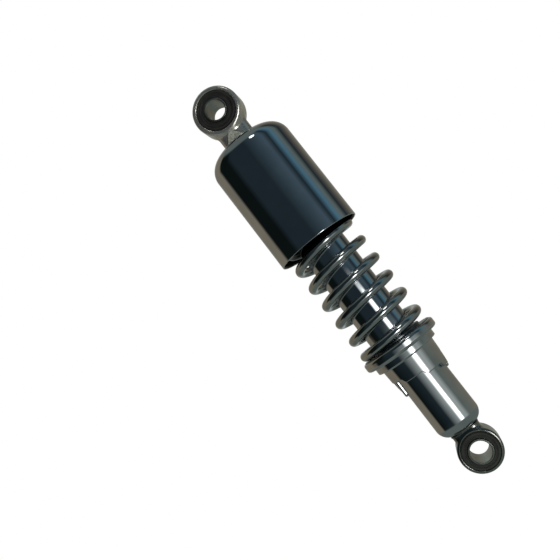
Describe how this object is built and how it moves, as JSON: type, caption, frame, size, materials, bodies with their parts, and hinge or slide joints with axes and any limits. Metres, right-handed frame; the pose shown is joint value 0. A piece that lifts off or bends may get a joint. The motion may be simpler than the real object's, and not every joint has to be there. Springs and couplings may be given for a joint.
{
  "type": "rear shock absorber",
  "caption": "Chrome motorcycle rear shock absorber with a closed upper cover, an exposed coil spring, a stepped preload cam and a rubber-bushed eye at each end.",
  "frame": {"origin": "on the shock's axis, at the height of the lowest point of the lower eye", "axes": "+Z along the shock's axis from the lower eye to the upper eye, Y along the two mounting bolts"},
  "size_m": [0.069, 0.069, 0.3562],
  "materials": {
    "chrome_plate": "bright chrome plate on steel",
    "eye_chrome": "chrome over a forged surface",
    "spring_chrome": "chrome-plated spring wire",
    "bare_steel": "machined or pressed steel, oiled",
    "sleeve_steel": "turned steel sleeve, dulled",
    "rod_chrome": "ground hard chrome",
    "cast_aluminium": "die-cast, machined",
    "bush_bronze": "sintered bronze",
    "bush_rubber": "moulded matt rubber",
    "seal_rubber": "nitrile rubber",
    "buffer_rubber": "moulded rubber foam",
    "black_plastic": "moulded nylon"
  },
  "bodies": {
    "upper_sleeve": {"upper_inner_sleeve": "sleeve_steel"},
    "upper_half": {"upper_rubber_bush": "bush_rubber", "upper_eye": "eye_chrome", "upper_shroud": "chrome_plate", "top_spring_seat": "bare_steel", "rod_lock_nut": "bare_steel", "bump_stop": "buffer_rubber", "piston_rod": "rod_chrome", "rebound_stop": "seal_rubber", "compression_valve_disc": "bare_steel", "piston": "bare_steel", "piston_ring": "black_plastic", "rebound_valve_disc": "bare_steel", "piston_nut": "bare_steel"},
    "spring_isolator": {"top_spring_isolator": "buffer_rubber"},
    "lower_half": {"damper_body": "chrome_plate", "rod_guide": "cast_aluminium", "rod_guide_bush": "bush_bronze", "rod_oil_seal": "seal_rubber", "gland_ring": "bare_steel", "dust_wiper": "seal_rubber", "pressure_tube": "bare_steel", "foot_valve_body": "cast_aluminium", "foot_valve_disc": "bare_steel", "foot_valve_spring": "bare_steel", "foot_valve_rivet": "bare_steel", "cam_stop_lug_left": "chrome_plate", "cam_stop_lug_right": "chrome_plate", "lower_eye": "eye_chrome", "lower_rubber_bush": "bush_rubber"},
    "spring_seat": {"spring_seat_washer": "chrome_plate", "coil_spring": "spring_chrome"},
    "preload_adjuster": {"preload_cam": "chrome_plate"},
    "lower_sleeve": {"lower_inner_sleeve": "sleeve_steel"}
  },
  "joints": [
    {"name": "upper_bush_twist", "type": "hinge", "parent": "upper_sleeve", "child": "upper_half", "pos_m": [0, 0, 0.3365], "axis": [0, 1, 0], "range_deg": [-12, 12], "stiffness_Nm_per_rad": 4},
    {"name": "rod_swivel", "type": "hinge", "parent": "upper_half", "child": "spring_isolator", "pos_m": [0, 0, 0.3365], "axis": [0, 0, 1], "continuous": true},
    {"name": "damper_travel", "type": "slide", "parent": "spring_isolator", "child": "lower_half", "axis": [0, 0, 1], "range_m": [0, 0.06], "stiffness_N_per_m": 18000, "springref_m": -0.005, "deforming": ["coil_spring"]},
    {"name": "preload_lift", "type": "slide", "parent": "lower_half", "child": "spring_seat", "axis": [0, 0, 1], "range_m": [0, 0.0105], "deforming": ["top_spring_isolator"]},
    {"name": "preload_turn", "type": "hinge", "parent": "spring_seat", "child": "preload_adjuster", "pos_m": [0, 0, 0.112], "axis": [0, 0, -1], "range_deg": [0, 135.01]},
    {"name": "lower_bush_twist", "type": "hinge", "parent": "lower_half", "child": "lower_sleeve", "pos_m": [0, 0, 0.0165], "axis": [0, 1, 0], "range_deg": [-12, 12], "stiffness_Nm_per_rad": 4}
  ],
  "couplings": [
    {"joint": "preload_turn", "follows": "preload_lift", "rad_per_m": 224.4}
  ]
}
